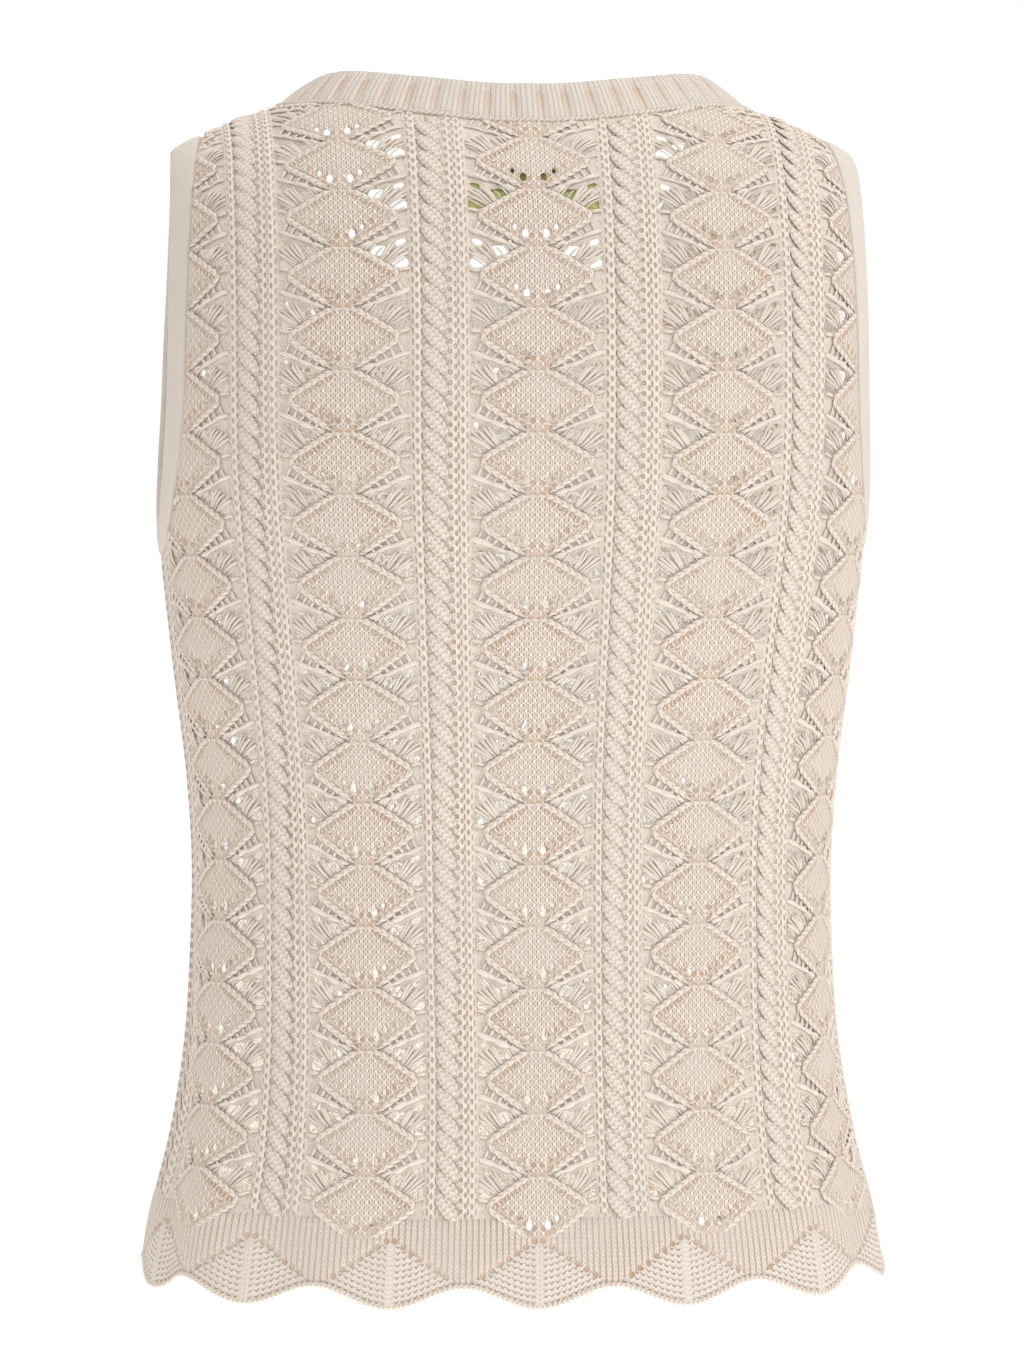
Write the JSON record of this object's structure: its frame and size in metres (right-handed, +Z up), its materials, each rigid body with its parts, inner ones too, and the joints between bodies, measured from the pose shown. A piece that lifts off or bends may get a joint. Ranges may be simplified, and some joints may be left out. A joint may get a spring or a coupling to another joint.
{
  "type": "sleeveless knitted lace top",
  "caption": "Sleeveless lace-knit top with ribbed round neckband, narrow armhole bands and scalloped hem, hollow and filled out as if worn.",
  "frame": {"origin": "between the wearer's shoulders, midway from side to side, level with the top of the neckband at the shoulders", "axes": "+Z up along the wearer, +Y towards the wearer's back, +X towards the wearer's left"},
  "size_m": [0.329, 0.2333, 0.5309],
  "materials": {
    "lace_knit": "matt cream cotton knit with open lace",
    "band_knit": "matt cream cotton knit, ribbed at the neck and smooth at the armholes",
    "label_weave": "plain woven yellow-green strip"
  },
  "bodies": {
    "root": {"back_panel": "lace_knit", "front_panel": "lace_knit", "neckband": "band_knit", "left_armhole_band": "band_knit", "right_armhole_band": "band_knit", "neck_label": "label_weave"}
  },
  "joints": []
}
